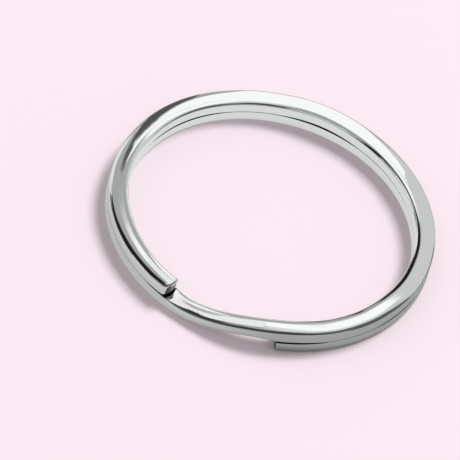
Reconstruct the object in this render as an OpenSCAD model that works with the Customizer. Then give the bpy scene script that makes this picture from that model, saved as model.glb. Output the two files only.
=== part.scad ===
// Split key ring: one length of wire wound into two flat turns that lie on each other.
// The wire starts at its cut lower end, runs round the lower level, climbs through the
// gap between the two ends, and runs round the upper level to its rounded upper end.
// The ring lies on z = 0 with its axis along Z.

/* [Ring] */
// Outside diameter of the ring
ring_od = 30; // [22:0.5:45]

/* [Wire] */
// Width of the wire, across the ring
wire_w = 1.84; // [1.4:0.02:2.6]
// Thickness of the wire, one turn
wire_t = 1.18; // [0.8:0.02:1.6]
// Rounding between the crown and the corners, on the faces that show
shoulder_r = 0.55; // [0.3:0.01:0.6]
// Rounding of the corners, next to the wire's sides
corner_r = 0.20; // [0.1:0.01:0.3]
// Direction in which a corner runs into its shoulder, in degrees above level
bend_at = 45; // [40:1:55]
// Slope of the crown where it meets the shoulder, in degrees
crown_slope = 14; // [4:1:20]
// Flat along the middle of the crown
flat_w = 0.40; // [0.2:0.05:0.5]
// Rounding of the edges of the faces that lie on each other
mate_r = 0.05; // [0.03:0.01:0.15]
// Slope of those faces towards their edges, in degrees
mate_slope = 1; // [0:0.5:3]

/* [Winding] */
// Direction of the lower end, seen from above, in degrees
lower_end = 284.5; // [180:0.5:350]
// Gap between the two ends, which the climbing wire crosses, in degrees
end_gap = 42.5; // [30:0.5:80]
// How far the climb reaches past each end, in degrees
climb_lead = 4; // [0:0.5:6]
// Slit between the two turns
slit = 0.05; // [0.03:0.01:0.2]
// Extra height of the wire where it has just climbed over the lower end
climb_rise = 0.13; // [0:0.01:0.15]
// Length of wire in which that extra height settles, in degrees
settle_span = 24; // [16:1:40]
// Length of wire in which a mating face turns into one that shows, in degrees
blend_span = 14; // [8:1:20]

/* [Upper end] */
// How far the free upper end springs up
tip_lift = 0.09; // [0:0.01:0.2]
// Length of wire that it springs up over, in degrees
lift_span = 16; // [10:1:30]
// Rounding of the upper end's face
tip_r = 0.34; // [0.1:0.02:0.45]
// How much of that rounding moves from the inside to the outside
tip_lean = 0.30; // [0:0.05:0.4]

/* [Hidden] */

steel = [0.80, 0.81, 0.82];

ring_r = ring_od / 2;
mid_r = ring_r - wire_w / 2;
rise = wire_t + slit;

// run angles, counted along the wire from the lower end
level_span = 360 - end_gap;
climb_from = level_span - climb_lead;
climb_to = 360 + climb_lead;
upper_from = 360 + settle_span;
run_end = 360 + level_span;
lift_from = run_end - lift_span;

// the lower turn's top is bare past the upper end, and the climbing wire's underside
// mates once it is over the lower end
top_bare_from = level_span - blend_span / 4;
bottom_mates_from = 360 - blend_span * 3 / 4;

// steps of the swept stretches, and facets of the section's roundings and of the upper end
sweep_step = 1.5;
corner_facets = 2;
shoulder_facets = 4;
tip_facets = 6;

// the swept stretches are slimmer by a hair, and tuck into the turned ones by this angle
hair = 0.003;
tuck = 1;

// the roundings stay inside the wire that carries them
shoulder_round = min(shoulder_r, 0.47 * wire_t, 0.35 * wire_w);
corner_round = min(corner_r, 0.2 * wire_t);
end_r = min(tip_r, 0.38 * wire_t, 0.3 * wire_w);
least_r = 0.03;

function ease(u) =
    let (v = max(0, min(1, u)))
    v * v * v * (v * (6 * v - 15) + 10);

// height of the wire's underside at a run angle
function level(run) =
    (rise + climb_rise) * ease((run - climb_from) / (climb_to - climb_from))
    - climb_rise * ease((run - climb_to) / (upper_from - climb_to))
    + tip_lift * pow(max(0, run - lift_from) / lift_span, 2);

function mix(from, to, share) = from + (to - from) * share;

// upper outer quarter of the section, from the side up to the crown's flat, drawn in by a
// step all round; bare is 1 on a face that shows and 0 on one that lies on the other turn
function quarter(step, bare) =
    let (
        w = wire_w / 2 - step,
        t = wire_t / 2 - step,
        corner = max(mix(mate_r, corner_round, bare) - step, least_r),
        shoulder = max(mix(mate_r, shoulder_round, bare) - step, least_r),
        slope = mix(mate_slope, crown_slope, bare),
        turn = 90 - slope - bend_at,
        bend_x = w - corner * (1 - cos(bend_at)),
        half = bend_x - shoulder * (cos(bend_at) - sin(slope)),
        flat = min(flat_w / 2, half / 2),
        drop = min(tan(slope) * (half - flat) / 2, t / 3),
        bend_z = t - drop - shoulder * (cos(slope) - sin(bend_at))
    )
    concat(
        [for (i = [0 : corner_facets - 1])
            let (a = bend_at * i / corner_facets)
            [w - corner * (1 - cos(a)), bend_z - corner * (sin(bend_at) - sin(a))]],
        [for (i = [0 : shoulder_facets])
            let (a = bend_at + turn * i / shoulder_facets)
            [bend_x - shoulder * (cos(bend_at) - cos(a)),
             bend_z + shoulder * (sin(a) - sin(bend_at))]],
        [for (u = [0.5, 0])
            [flat + (half - flat) * u, t - drop * u * u]]
    );

// whole section at a run angle, counter-clockwise about the middle of the wire
function section(run, step) =
    let (
        top = quarter(step, ease((run - top_bare_from) / blend_span)),
        low = quarter(step, 1 - ease((run - bottom_mates_from) / blend_span)),
        last = len(top) - 1
    )
    concat(
        top,
        [for (i = [last : -1 : 0]) [-top[i][0], top[i][1]]],
        [for (p = low) [-p[0], -p[1]]],
        [for (i = [last : -1 : 0]) [low[i][0], -low[i][1]]]
    );

// one ring of points: the section set upright at a run angle
function station(run, step) =
    let (
        a = lower_end + run,
        r = mid_r - tip_lean * step,
        z = level(run) + wire_t / 2
    )
    [for (p = section(run, step))
        [(r + p[0]) * cos(a), (r + p[0]) * sin(a), z + p[1]]];

// run angles from one to another in even steps
function runs(from, to) =
    let (n = ceil((to - from) / sweep_step))
    [for (i = [0 : n]) from + (to - from) * i / n];

// closed skin over a list of stations
module skin(stations) {
    n = len(stations[0]);
    m = len(stations);
    points = [for (s = stations) for (p = s) p];
    sides = [
        for (j = [0 : m - 2])
            for (i = [0 : n - 1])
                let (k = (i + 1) % n)
                each [
                    [j * n + i, (j + 1) * n + k, (j + 1) * n + i],
                    [j * n + i, j * n + k, (j + 1) * n + k]
                ]
    ];
    start_cap = [for (i = [n - 1 : -1 : 0]) i];
    end_cap = [for (i = [0 : n - 1]) (m - 1) * n + i];
    polyhedron(points = points, faces = concat([start_cap], sides, [end_cap]));
}

// a level stretch of wire, turned about the ring's axis
module level_turn(from, to) {
    translate([0, 0, level(from)])
        rotate_extrude(angle = to - from, start = lower_end + from, $fn = 240)
            translate([mid_r, wire_t / 2])
                polygon(section(from, 0));
}

module climb() {
    skin([for (run = runs(climb_from - tuck, upper_from + tuck)) station(run, hair)]);
}

// the free end: it springs up a little, and its face is rounded
module upper_tip() {
    tip_span = end_r / mid_r * 180 / PI;
    lifted = runs(lift_from - tuck, run_end - tip_span);
    rounded = [for (i = [1 : tip_facets]) 90 * i / tip_facets];
    skin(concat(
        [for (run = lifted) station(run, hair)],
        [for (a = rounded)
            station(run_end - tip_span * (1 - sin(a)), hair + end_r * (1 - cos(a)))]
    ));
}

module split_ring() {
    color(steel) {
        level_turn(0, climb_from);
        climb();
        level_turn(upper_from, lift_from);
        upper_tip();
    }
}

split_ring();
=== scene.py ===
import bmesh
import bpy
import math
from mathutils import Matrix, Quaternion, Vector


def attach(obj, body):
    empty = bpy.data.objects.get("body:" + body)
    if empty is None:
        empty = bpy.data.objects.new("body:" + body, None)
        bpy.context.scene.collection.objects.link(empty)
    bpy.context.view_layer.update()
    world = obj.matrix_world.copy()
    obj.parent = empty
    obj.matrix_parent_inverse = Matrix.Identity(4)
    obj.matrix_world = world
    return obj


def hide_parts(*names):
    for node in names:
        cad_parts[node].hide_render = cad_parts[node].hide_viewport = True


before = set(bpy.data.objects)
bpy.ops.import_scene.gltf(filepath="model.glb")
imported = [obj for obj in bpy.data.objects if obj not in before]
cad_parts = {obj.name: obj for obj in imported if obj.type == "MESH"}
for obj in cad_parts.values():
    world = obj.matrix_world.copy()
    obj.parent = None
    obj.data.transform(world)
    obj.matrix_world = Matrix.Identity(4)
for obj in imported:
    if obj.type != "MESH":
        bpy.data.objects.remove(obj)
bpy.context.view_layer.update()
print("frame loaded:", ", ".join(sorted(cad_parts)))

mm = 0.001

# lengths in mm, angles in degrees; a run angle is counted along the wire from its lower end
ringShape = {
    "outerDia": 29.99,       # a hair under the solid model's 30, to stay inside its box
    "wireWide": 1.84,
    "wireThick": 1.18,
    "wireGirth": 6.0,        # round the wire, roughly, for the marks in the plate
    "shoulderRound": 0.55,   # edges of the face that shows: next to the crown
    "cornerRound": 0.20,     # and next to the side
    "leastShoulder": 0.02,   # what is left of them where the wire tapers
    "leastCorner": 0.01,
    "bendAt": 45.0,          # where the one meets the other
    "mateRound": 0.05,       # edges of the face that lies on the other turn
    "openSlope": 14.0,       # where the crown meets the rounding, on a face that shows
    "mateSlope": 1.0,        # and on one that lies on the other turn
    "crownFlat": 0.20,       # half width of the flat along the crown
    "sideBulge": 0.012,
    "lowerEnd": 284.5,       # direction of the lower end, seen from above
    "endGap": 42.5,          # from the upper end on to the lower one
    "climbLead": 4.0,        # how far the climb reaches past each end
    "climbRise": 0.13,       # extra height of the wire just after the climb
    "settleSpan": 24.0,      # and the length of wire in which it settles
    "slit": 0.025,           # between the turns where they lie close
    "gapes": [(50, 16, 0.09), (157, 20, 0.14), (215, 24, 0.12)],   # middle, half span, lift
    "slitSeen": 0.005,       # a slit wider by this starts to get painted shade
    "slitFade": 0.05,        # and has full painted shade when wider by this again
    "blendSpan": 14.0,       # length in which a mating face turns into one that shows
    "blendCovered": 0.25,    # share of that length which the other turn covers
    "tipLift": 0.11,         # spring of the upper end
    "liftSpan": 16.0,
    "tipCorners": (0.60, 0.25),   # its roundings seen from above: outer, inner
    "tipEdge": 0.25,         # rounding all round its end face
    "tipShoulder": 0.80,     # share of the shoulder's rounding left there
    "cutRound": 0.035,       # rounding all round the lower end's face
    "cutFaceShade": 0.75,     # painted shade on both end faces: share of the plate's slit shade colour there
    "cornerSteps": 5,
    "shoulderSteps": 9,
    "crownSteps": 6,
    "sideSteps": 2,
    "cutSteps": 3,
    "tipSteps": 20,
    "degPerStep": 0.75,
}
midR = ringShape["outerDia"] / 2 - ringShape["wireWide"] / 2   # the wire's middle line
lastLevel = 360 - ringShape["endGap"]                          # run angle under the upper end
runEnd = 720 - ringShape["endGap"]


def ease(u):
    u = max(0.0, min(1.0, u))
    return u * u * u * (u * (6 * u - 15) + 10)


def wireHeight(run):
    # underside of the wire at a run angle
    s = ringShape
    rise = s["wireThick"] + s["slit"]
    climbFrom, climbTo = lastLevel - s["climbLead"], 360 + s["climbLead"]
    settled = 360 + s["settleSpan"]
    liftFrom = runEnd - s["liftSpan"]
    z = (rise + s["climbRise"]) * ease((run - climbFrom) / (climbTo - climbFrom))
    z -= s["climbRise"] * ease((run - climbTo) / (settled - climbTo))
    z += s["tipLift"] * (max(0.0, run - liftFrom) / s["liftSpan"]) ** 2
    for middle, halfSpan, lift in s["gapes"]:             # where the turns stand a little apart
        k = max(0.0, 1 - (abs(run - 360 - middle) / halfSpan) ** 2)
        z += lift * k * k
    return z


def sectionQuarter(w, t, inset, showing, shoulderLeft):
    # from the middle of the side up to the middle of the crown; showing is 1 on a face
    # that shows and 0 on one that lies on the other turn
    s = ringShape

    def mix(mate, bare):
        return s[mate] + (s[bare] - s[mate]) * showing

    corner = max(mix("mateRound", "cornerRound") - inset, s["leastCorner"])
    shoulder = mix("mateRound", "shoulderRound") * shoulderLeft
    shoulder = max(shoulder - inset, s["leastShoulder"])
    slope = math.radians(mix("mateSlope", "openSlope"))
    bend = math.radians(s["bendAt"])
    crownHalf = w - corner * (1 - math.cos(bend)) - shoulder * (math.cos(bend) - math.sin(slope))
    flat = min(s["crownFlat"], crownHalf * 0.5)
    drop = math.tan(slope) * (crownHalf - flat) / 2
    x = w
    z = t - drop - shoulder * (math.cos(slope) - math.sin(bend)) - corner * math.sin(bend)
    quarter = []
    for i in range(s["sideSteps"]):                       # side
        u = i / s["sideSteps"]
        quarter.append((w - s["sideBulge"] * u * u, z * u))
    arcs = [(corner, 0.0, bend, s["cornerSteps"], 0),
            (shoulder, bend, math.pi / 2 - slope, s["shoulderSteps"], 1)]
    for r, start, end, count, closing in arcs:            # corner, then the whole shoulder
        for i in range(count + closing):
            a = start + (end - start) * i / count
            px = x - r * (math.cos(start) - math.cos(a))
            pz = z + r * (math.sin(a) - math.sin(start))
            quarter.append((px - s["sideBulge"] * math.cos(a) ** 2, pz))
        x -= r * (math.cos(start) - math.cos(end))
        z += r * (math.sin(end) - math.sin(start))
    for i in range(1, s["crownSteps"] + 1):               # crown
        x = crownHalf * (1 - i / s["crownSteps"])
        k = max(0.0, x - flat) / (crownHalf - flat)
        quarter.append((x, t - drop * k * k))
    return quarter


def slitShadeShare(run):
    # share of painted shade in the slit: 1 where the turns stand apart enough for the slit to
    # show, 0 where they close
    s = ringShape
    if run + 360 <= runEnd:
        gap = wireHeight(run + 360) - wireHeight(run) - s["wireThick"]
    elif run >= 360:
        gap = wireHeight(run) - wireHeight(run - 360) - s["wireThick"]
    else:
        return 0.0
    return ease((gap - s["slit"] - s["slitSeen"]) / s["slitFade"])


def wireSection(run, inset, outerCut, innerCut):
    # one slice of the wire, counter-clockwise, x outwards; the lower turn mates on its top
    # and the upper one underneath; each point is x, z and its share of painted shade in the slit
    s = ringShape
    w = s["wireWide"] / 2 - inset - (outerCut + innerCut) / 2
    shift = (innerCut - outerCut) / 2
    t = s["wireThick"] / 2 - inset
    covered, span = s["blendCovered"], s["blendSpan"]
    topOpen = ease((run - lastLevel + span * covered) / span)
    bottomOpen = 1 - ease((run - 360 + span * (1 - covered)) / span)
    shoulderLeft = 1 - (1 - s["tipShoulder"]) * outerCut / s["tipCorners"][0]
    # painted shade in the slit, where the turns stand apart
    dark = slitShadeShare(run)

    def face(openness):
        points = []
        for i, (x, z) in enumerate(sectionQuarter(w, t, inset, openness, shoulderLeft)):
            fromSide = max(0.0, min(1.0, (i - s["sideSteps"]) / s["cornerSteps"]))
            points.append((x, z, fromSide * dark * (1 - openness)))
        return points

    top, bottom = face(topOpen), face(bottomOpen)
    section = top + [(-x, z, d) for x, z, d in reversed(top[1:-1])]
    section += [(-x, -z, d) for x, z, d in bottom]
    section += [(x, -z, d) for x, z, d in reversed(bottom[1:-1])]
    return [(x + shift, z, d) for x, z, d in section]


def ringStations():
    # run angle of every section along the wire, its inset and its cuts outside and inside
    s = ringShape

    def degOf(length):
        return math.degrees(length / midR)

    def cut(r, fromEnd):
        return r - math.sqrt(r * r - (r - fromEnd) ** 2) if fromEnd < r else 0.0

    stations = []
    for i in range(s["cutSteps"] + 1):                    # the lower end's face and its edge
        a = math.pi / 2 * i / s["cutSteps"]
        stations.append((degOf(s["cutRound"] * (1 - math.cos(a))),
                         s["cutRound"] * (1 - math.sin(a)), 0, 0))
    outer, inner = s["tipCorners"]
    first, last = stations[-1][0], runEnd - degOf(outer)
    n = math.ceil((last - first) / s["degPerStep"])
    stations += [(first + (last - first) * i / n, 0.0, 0, 0) for i in range(1, n + 1)]
    for i in range(1, s["tipSteps"] + 1):                 # the upper end's corners and edge
        fromEnd = outer * (1 - math.sin(math.pi / 2 * i / s["tipSteps"]))
        stations.append((runEnd - degOf(fromEnd), cut(s["tipEdge"], fromEnd),
                         cut(outer, fromEnd), cut(inner, fromEnd)))
    return stations


def addObject(name, data):
    obj = bpy.data.objects.new(name, data)
    bpy.context.scene.collection.objects.link(obj)
    return obj


def buildRing():
    s = ringShape
    stations = ringStations()
    points, shadeShares = [], []
    for run, inset, outerCut, innerCut in stations:
        section = wireSection(run, inset, outerCut, innerCut)
        a = math.radians(s["lowerEnd"] + run)
        middle = wireHeight(run) + s["wireThick"] / 2
        for x, z, depth in section:
            r = midR + x
            points.append((r * math.cos(a) * mm, r * math.sin(a) * mm, (middle + z) * mm))
            shadeShares.append(depth)
    n, m = len(section), len(stations)                    # points in a section, sections

    # faces and, for each of their corners, how far along the wire and round it that lies
    lengthAt = [math.radians(station[0]) * midR for station in stations]
    faces, places = [], []
    for j in range(m - 1):
        for i in range(n):
            k = (i + 1) % n
            faces.append((j * n + i, (j + 1) * n + i, (j + 1) * n + k, j * n + k))
            places += [(lengthAt[j], i), (lengthAt[j + 1], i),
                       (lengthAt[j + 1], i + 1), (lengthAt[j], i + 1)]
    lowerFace, upperFace = range(n), range(n * (m - 1), n * m)
    faces += [tuple(lowerFace), tuple(reversed(upperFace))]
    places += [(lengthAt[0], i) for i in range(n)]
    places += [(lengthAt[-1], i) for i in reversed(range(n))]
    # painted shade on both end faces
    for i in [*lowerFace, *upperFace]:
        shadeShares[i] = max(shadeShares[i], s["cutFaceShade"])

    mesh = bpy.data.meshes.new("splitRing")
    mesh.from_pydata(points, [], faces)
    mesh.update()
    # each point's share of painted shade, for the plate
    mesh.attributes.new("paintedSlitShade", "FLOAT", "POINT").data.foreach_set("value", shadeShares)
    wireRun = mesh.uv_layers.new(name="wireRun")
    wireRun.data.foreach_set(
        "uv", [c for length, i in places for c in (length, i / n * s["wireGirth"])])
    mesh.shade_smooth()
    for edge in mesh.edges:                               # crisp round both end faces
        a, b = edge.vertices
        if (a in lowerFace and b in lowerFace) or (a in upperFace and b in upperFace):
            edge.use_edge_sharp = True
    return addObject("splitRing", mesh)


plateLook = {
    "colour": (0.80, 0.815, 0.82, 1),
    "slitShadeColour": (0.015, 0.015, 0.016, 1),   # painted shade in the slit and on both end faces
    "roughLow": 0.05,
    "roughHigh": 0.10,
    "drawStretch": (0.35, 9.0, 1.0),   # fine lines: long along the wire, close across it
    "drawScale": 3.0,
    "drawDetail": 4.0,
    "drawMarks": 0.02,       # their bump
    "drawDepth": 0.00004,    # metres
    "cloudScale": 380.0,     # soft unevenness under the plate, 2 to 3 mm across
    "cloudDetail": 1.5,
    "waviness": 0.03,        # its bump
    "waveDepth": 0.0004,
}


def colourMix(tree, share, first, last):
    node = tree.nodes.new("ShaderNodeMix")
    node.data_type = "RGBA"
    node.inputs["A"].default_value = first
    node.inputs["B"].default_value = last
    tree.links.new(share, node.inputs["Factor"])
    return node.outputs["Result"]


def makePlate():
    look = plateLook
    mat = bpy.data.materials.new("brightPlate")
    mat.use_nodes = True
    tree = mat.node_tree
    shader = tree.nodes["Principled BSDF"]
    shader.inputs["Metallic"].default_value = 1.0

    # painted shade: the slit attribute takes the plate towards the near-black slit shade colour
    slit = tree.nodes.new("ShaderNodeAttribute")
    slit.attribute_name = "paintedSlitShade"
    tone = colourMix(tree, slit.outputs["Fac"], look["colour"], look["slitShadeColour"])
    tree.links.new(tone, shader.inputs["Base Color"])

    def noise(vector, scale, detail):
        node = tree.nodes.new("ShaderNodeTexNoise")
        node.inputs["Scale"].default_value = scale
        node.inputs["Detail"].default_value = detail
        tree.links.new(vector, node.inputs["Vector"])
        return node.outputs["Fac"]

    def bump(height, strength, depth):
        node = tree.nodes.new("ShaderNodeBump")
        node.inputs["Strength"].default_value = strength
        node.inputs["Distance"].default_value = depth
        tree.links.new(height, node.inputs["Height"])
        return node

    coords = tree.nodes.new("ShaderNodeTexCoord")
    along = tree.nodes.new("ShaderNodeMapping")
    along.inputs["Scale"].default_value = look["drawStretch"]
    tree.links.new(coords.outputs["UV"], along.inputs["Vector"])
    marks = noise(along.outputs["Vector"], look["drawScale"], look["drawDetail"])
    cloud = noise(coords.outputs["Object"], look["cloudScale"], look["cloudDetail"])

    rough = tree.nodes.new("ShaderNodeMapRange")
    rough.inputs["To Min"].default_value = look["roughLow"]
    rough.inputs["To Max"].default_value = look["roughHigh"]
    tree.links.new(marks, rough.inputs["Value"])
    tree.links.new(rough.outputs["Result"], shader.inputs["Roughness"])

    wave = bump(cloud, look["waviness"], look["waveDepth"])
    fine = bump(marks, look["drawMarks"], look["drawDepth"])
    tree.links.new(wave.outputs["Normal"], fine.inputs["Normal"])
    tree.links.new(fine.outputs["Normal"], shader.inputs["Normal"])
    return mat


ring = buildRing()
ring.data.materials.append(makePlate())
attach(ring, "root")
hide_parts("split_ring")
print("ring made:", len(ring.data.polygons), "faces")


def feed(tree, socket, value):
    # a number is set on the socket itself, another node's output is linked to it
    if isinstance(value, (int, float)):
        socket.default_value = value
    else:
        tree.links.new(value, socket)


def calc(tree, operation, *values):
    node = tree.nodes.new("ShaderNodeMath")
    node.operation = operation
    for socket, value in zip(node.inputs, values):
        feed(tree, socket, value)
    return node.outputs[0]


def softStep(tree, value, start, end, first=0.0, last=1.0):
    # from first to last, eased, as the value goes from start to end
    node = tree.nodes.new("ShaderNodeMapRange")
    node.interpolation_type = "SMOOTHSTEP"
    node.inputs["From Min"].default_value = start
    node.inputs["From Max"].default_value = end
    feed(tree, node.inputs["To Min"], first)
    feed(tree, node.inputs["To Max"], last)
    tree.links.new(value, node.inputs["Value"])
    return node.outputs["Result"]


floorLook = {
    "colour": (0.973, 0.831, 0.896, 1),
    "half": 2.0,             # metres
    "rough": 0.9,
    "inMetal": (0.44, 0.44, 0.44, 1),         # its colour as the metal mirrors it: a painted reflection, a neutral grey darker than the floor's own pink
    "bounce": 0.92,          # a glow that the metal sees there instead, by a share in each place:
    "bounceShare": (0.55, 0.0, 0.85, 0.10),   # left of the ring, right, along its wall, middle
    "bounceAcross": (-10.0, 6.0),             # mm, from left to right outside the ring
    # mm from the axis: where the middle ends, the wall starts and ends, the outside starts
    "bounceReach": (7.0, 11.0, 12.6, 14.2),
}


def addFloor():
    look = floorLook
    h = look["half"]
    mesh = bpy.data.meshes.new("floor")
    mesh.from_pydata([(-h, -h, 0), (h, -h, 0), (h, h, 0), (-h, h, 0)], [], [(0, 1, 2, 3)])
    mat = bpy.data.materials.new("floorPaper")
    mat.use_nodes = True
    tree = mat.node_tree
    shader = tree.nodes["Principled BSDF"]
    shader.inputs["Roughness"].default_value = look["rough"]
    shader.inputs["Specular IOR Level"].default_value = 0.0
    # painted reflection: glossy rays see the floor in its darker grey
    mirrored = tree.nodes.new("ShaderNodeLightPath").outputs["Is Glossy Ray"]
    tone = colourMix(tree, mirrored, look["colour"], look["inMetal"])
    tree.links.new(tone, shader.inputs["Base Color"])

    coords = tree.nodes.new("ShaderNodeTexCoord")
    away = tree.nodes.new("ShaderNodeVectorMath")
    away.operation = "LENGTH"
    tree.links.new(coords.outputs["Object"], away.inputs[0])
    split = tree.nodes.new("ShaderNodeSeparateXYZ")
    tree.links.new(coords.outputs["Object"], split.inputs[0])
    left, right, wall, middle = look["bounceShare"]
    fromX, toX = (x * mm for x in look["bounceAcross"])
    middleEnds, wallStarts, wallEnds, outsideStarts = (r * mm for r in look["bounceReach"])
    outside = softStep(tree, split.outputs["X"], fromX, toX, left, right)
    inside = softStep(tree, away.outputs["Value"], middleEnds, wallStarts, middle, wall)
    amount = softStep(tree, away.outputs["Value"], wallEnds, outsideStarts, inside, outside)

    glow = tree.nodes.new("ShaderNodeEmission")
    glow.inputs["Strength"].default_value = look["bounce"]
    mix = tree.nodes.new("ShaderNodeMixShader")
    tree.links.new(calc(tree, "MULTIPLY", mirrored, amount), mix.inputs["Fac"])
    tree.links.new(shader.outputs[0], mix.inputs[1])
    tree.links.new(glow.outputs[0], mix.inputs[2])
    tree.links.new(mix.outputs[0], tree.nodes["Material Output"].inputs["Surface"])
    mesh.materials.append(mat)
    floor = addObject("floor", mesh)


addFloor()
print("floor laid")


def addUnseen(name, mesh):
    # only the metal sees it: no shadow, no light on the floor, and nothing in the picture
    card = addObject(name, mesh)
    card.visible_camera = False
    card.visible_shadow = False
    card.visible_diffuse = False
    card.visible_transmission = False


def glowing(name):
    # a material that only shines, and its strength socket, which the caller fills
    mat = bpy.data.materials.new(name)
    mat.use_nodes = True
    tree = mat.node_tree
    tree.nodes.remove(tree.nodes["Principled BSDF"])
    glow = tree.nodes.new("ShaderNodeEmission")
    tree.links.new(glow.outputs[0], tree.nodes["Material Output"].inputs["Surface"])
    return mat, glow.inputs["Strength"]


# the tent that the metal mirrors: a dome close round the ring with cards on it, pale ones
# first and dark flags last, as a later card covers an earlier one; in degrees, side is
# counted right from straight back, wide and high are half sizes, soft is the faded edge,
# and lean is how far a card's sides shift to the right for each degree up
tent = {
    "radius": 60.0,          # mm
    "segments": (96, 64),
    "tone": 0.45,            # of the cloth between the cards
    "cards": [
        {"name": "rightWall", "side": 44, "up": 28, "wide": 33, "high": 31, "lean": -0.4,
         "soft": 4, "light": 0.7},
        {"name": "topRight", "side": 32, "up": 70, "wide": 41, "high": 12, "lean": -0.6,
         "soft": 6, "light": 0.82},
        {"name": "softboxMiddle", "side": 5, "up": 55.8, "wide": 26.5, "high": 6.2, "lean": -0.3,
         "soft": 3, "light": 1.18},
        {"name": "softboxRight", "side": 30, "up": 61, "wide": 17, "high": 5, "lean": 0.7,
         "soft": 3, "light": 1.15},
        {"name": "leftCard", "side": -56, "up": 11, "wide": 13, "high": 22, "lean": 0.5,
         "soft": 3, "light": 0.92},
        {"name": "leftWall", "side": -92, "up": 32, "wide": 28, "high": 22, "lean": 0,
         "soft": 4, "light": 0.88},
        {"name": "highFlag", "side": -88, "up": 57, "wide": 31, "high": 11, "lean": 0,
         "soft": 3, "light": 0.02},
        {"name": "frontFlag", "side": 178, "up": 54, "wide": 64, "high": 22, "lean": 0,
         "soft": 5, "light": 0.06},
        {"name": "rightFlag", "side": 95, "up": 31, "wide": 21, "high": 28, "lean": 0,
         "soft": 4, "light": 0.12},
        {"name": "edgeFlag", "side": 66, "up": 2, "wide": 17, "high": 8, "lean": 0,
         "soft": 3, "light": 0.02},
    ],
}


def tentPattern(tree):
    coords = tree.nodes.new("ShaderNodeTexCoord")
    outward = tree.nodes.new("ShaderNodeVectorMath")
    outward.operation = "NORMALIZE"
    tree.links.new(coords.outputs["Object"], outward.inputs[0])
    split = tree.nodes.new("ShaderNodeSeparateXYZ")
    tree.links.new(outward.outputs[0], split.inputs[0])
    side = calc(tree, "DEGREES", calc(tree, "ARCTAN2", split.outputs["X"], split.outputs["Y"]))
    up = calc(tree, "DEGREES", calc(tree, "ARCSINE", split.outputs["Z"]))

    def within(value, half, soft):
        # 1 on the card, 0 off it
        return softStep(tree, calc(tree, "ABSOLUTE", value), half + soft, half - soft)

    tone = tent["tone"]
    for card in tent["cards"]:
        above = calc(tree, "SUBTRACT", up, card["up"])
        turned = calc(tree, "WRAP", calc(tree, "SUBTRACT", side, card["side"]), 180.0, -180.0)
        leaned = calc(tree, "SUBTRACT", turned, calc(tree, "MULTIPLY", above, card["lean"]))
        onCard = calc(tree, "MULTIPLY", within(leaned, card["wide"], card["soft"]),
                      within(above, card["high"], card["soft"]))
        mix = tree.nodes.new("ShaderNodeMix")
        mix.data_type = "FLOAT"
        tree.links.new(onCard, mix.inputs["Factor"])
        feed(tree, mix.inputs["A"], tone)
        mix.inputs["B"].default_value = card["light"]
        tone = mix.outputs["Result"]
    return tone


def addTent():
    radius = tent["radius"] * mm
    across, upward = tent["segments"]
    mesh = bpy.data.meshes.new("tent")
    form = bmesh.new()
    bmesh.ops.create_uvsphere(form, u_segments=across, v_segments=upward, radius=radius)
    below = [v for v in form.verts if v.co.z < -0.01 * radius]      # clearly under the floor
    bmesh.ops.delete(form, geom=below, context="VERTS")
    form.to_mesh(mesh)
    form.free()
    cloth, strength = glowing("tentCloth")
    cloth.node_tree.links.new(tentPattern(cloth.node_tree), strength)
    mesh.materials.append(cloth)
    addUnseen("tent", mesh)


# curved cards between the ring and the tent: how far out in mm, and for a few angles
# seen from above the card's low and high edge in mm
nearCards = [
    {"name": "backReflector", "out": 16.2, "light": 1.15,
     "edges": [(50, 5.2, 7.6), (63, 3.4, 7.6), (70, 2.6, 7.6), (108, 2.6, 7.6), (117, 3.4, 8.0),
               (129, 4.5, 9.0), (139, 6.2, 10.5), (148, 7.8, 11)]},
    {"name": "backFlag", "out": 22.0, "light": 0.10,
     "edges": [(119.5, 2.5, 7.5), (122, 2.5, 10), (125.5, 2.5, 15), (129, 2.5, 20),
               (131, 2.5, 20), (134, 2.5, 15), (138, 2.5, 11.5), (140, 2.5, 8)]},
    {"name": "sidePanel", "out": 22.0, "light": 0.012,
     "edges": [(171, 10, 14), (177, 7.2, 17), (184, 6.4, 20), (224, 6.4, 20)]},
    {"name": "sidePanelLow", "out": 22.0, "light": 0.12,
     "edges": [(178, 2.5, 6.4), (212, 2.5, 6.4)]},
]
nearCardStep = 2             # degrees


def addGlowing(card, points, faces):
    mesh = bpy.data.meshes.new(card["name"])
    mesh.from_pydata([(x * mm, y * mm, z * mm) for x, y, z in points], [], faces)
    mat, strength = glowing(card["name"])
    strength.default_value = card["light"]
    mesh.materials.append(mat)
    addUnseen(card["name"], mesh)


def addNearCard(card):
    points = []
    edges = card["edges"]
    for (a0, low0, high0), (a1, low1, high1) in zip(edges, edges[1:]):
        n = math.ceil((a1 - a0) / nearCardStep)
        closing = 1 if a1 == edges[-1][0] else 0          # the last stretch has its end too
        for i in range(n + closing):
            u = i / n
            a = math.radians(a0 + (a1 - a0) * u)
            x, y = card["out"] * math.cos(a), card["out"] * math.sin(a)
            points.append((x, y, low0 + (low1 - low0) * u))
            points.append((x, y, high0 + (high1 - high0) * u))
    faces = [(k, k + 1, k + 3, k + 2) for k in range(0, len(points) - 2, 2)]
    addGlowing(card, points, faces)


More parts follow.
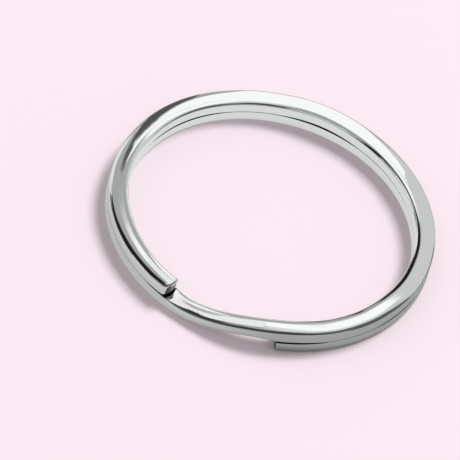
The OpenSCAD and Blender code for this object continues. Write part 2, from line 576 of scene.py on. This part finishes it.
# flat cards over the ring and one just above the floor inside it, by their corners in mm
flatCards = [
    {"name": "innerPanel", "light": 0.01,
     "corners": [(2.7, 10, 2.4), (6.2, 10, 2.4), (7.6, 10, 8.4), (10.2, 10, 9.7),
                 (10.6, 10, 11.4), (9.2, 10, 13.2), (6, 10, 13.2), (4.9, 10, 9), (4.1, 10, 6.4)]},
    {"name": "floorFlag", "light": 0.05,
     "corners": [(2, -5, 0.03), (7, -5, 0.03), (9.3, -2, 0.03), (9.5, 2, 0.03), (8, 5.2, 0.03),
                 (4, 8, 0.03), (1, 7, 0.03)]},
    {"name": "tipCard", "light": 1.12,
     "corners": [(-7.5, 0.5, 6), (-5.5, 0.5, 6), (-5.5, 0.5, 12.5), (-7.5, 0.5, 12.5)]},
    {"name": "overheadCard", "light": 1.0,
     "corners": [(-9.9, -7, 17.6), (0.5, -7, 17.6), (0.5, 1.5, 17.6), (-9.9, 5.5, 17.6)]},
]


def addFlatCard(card):
    addGlowing(card, card["corners"], [tuple(range(len(card["corners"])))])


addTent()
for card in nearCards:
    addNearCard(card)
for card in flatCards:
    addFlatCard(card)
print("tent up, with", len(nearCards) + len(flatCards), "cards in it")

roomLight = {
    "sky": 0.48,             # plain grey light on the floor
    "side": 38,              # the key lamp: degrees right of straight back
    "up": 58,
    "away": 2.0,             # metres
    "size": (0.80, 0.80),
    "power": 26.0,
}


def lightRoom():
    # past the floor's end the picture and the metal show the floor's colour
    world = bpy.data.worlds.new("room")
    world.use_nodes = True
    tree = world.node_tree
    path = tree.nodes.new("ShaderNodeLightPath")
    seen = calc(tree, "MAXIMUM", path.outputs["Is Camera Ray"], path.outputs["Is Glossy Ray"])
    sky = roomLight["sky"]
    tone = colourMix(tree, seen, (sky, sky, sky, 1), floorLook["colour"])
    background = tree.nodes["Background"]
    background.inputs["Strength"].default_value = 1.0
    tree.links.new(tone, background.inputs["Color"])
    bpy.context.scene.world = world


def addKeyLamp():
    spec = roomLight
    data = bpy.data.lights.new("key", "AREA")
    data.shape = "RECTANGLE"
    data.size, data.size_y = spec["size"]
    data.energy = spec["power"]
    lamp = addObject("key", data)
    a, e = math.radians(spec["side"]), math.radians(spec["up"])
    out = Vector((math.sin(a) * math.cos(e), math.cos(a) * math.cos(e), math.sin(e)))
    lamp.location = out * spec["away"]
    lamp.rotation_mode = "QUATERNION"
    lamp.rotation_quaternion = out.to_track_quat("Z", "Y")
    lamp.visible_glossy = False                           # the metal mirrors the tent instead


lightRoom()
addKeyLamp()
print("room lit")

cameraSet = {
    "up": 45.49,             # degrees above the floor
    "roll": 17.03,           # degrees, so that the ring's right side hangs lower
    "away": 1.85,            # metres, as the next three
    "frameWide": 0.04136,    # width of the view at the ring
    "aimAt": (0, 0, 0.00121),
    "offCentre": (0.00363, 0.00091),   # the ring sits right of and above the middle
    "sensor": 36,            # mm
}


def setCamera():
    c = cameraSet
    e = math.radians(c["up"])
    back = Vector((0, -math.cos(e), math.sin(e)))
    data = bpy.data.cameras.new("camera")
    data.sensor_width = c["sensor"]
    data.lens = c["sensor"] * c["away"] / c["frameWide"]
    cam = addObject("camera", data)
    turn = (-back).to_track_quat("-Z", "Y") @ Quaternion((0, 0, 1), math.radians(c["roll"]))
    right, up = turn @ Vector((1, 0, 0)), turn @ Vector((0, 1, 0))
    middle = Vector(c["aimAt"]) - right * c["offCentre"][0] - up * c["offCentre"][1]
    cam.rotation_mode = "QUATERNION"
    cam.rotation_quaternion = turn
    cam.location = middle + back * c["away"]
    bpy.context.scene.camera = cam


setCamera()
bpy.context.scene.view_settings.view_transform = "Standard"
print("camera set")
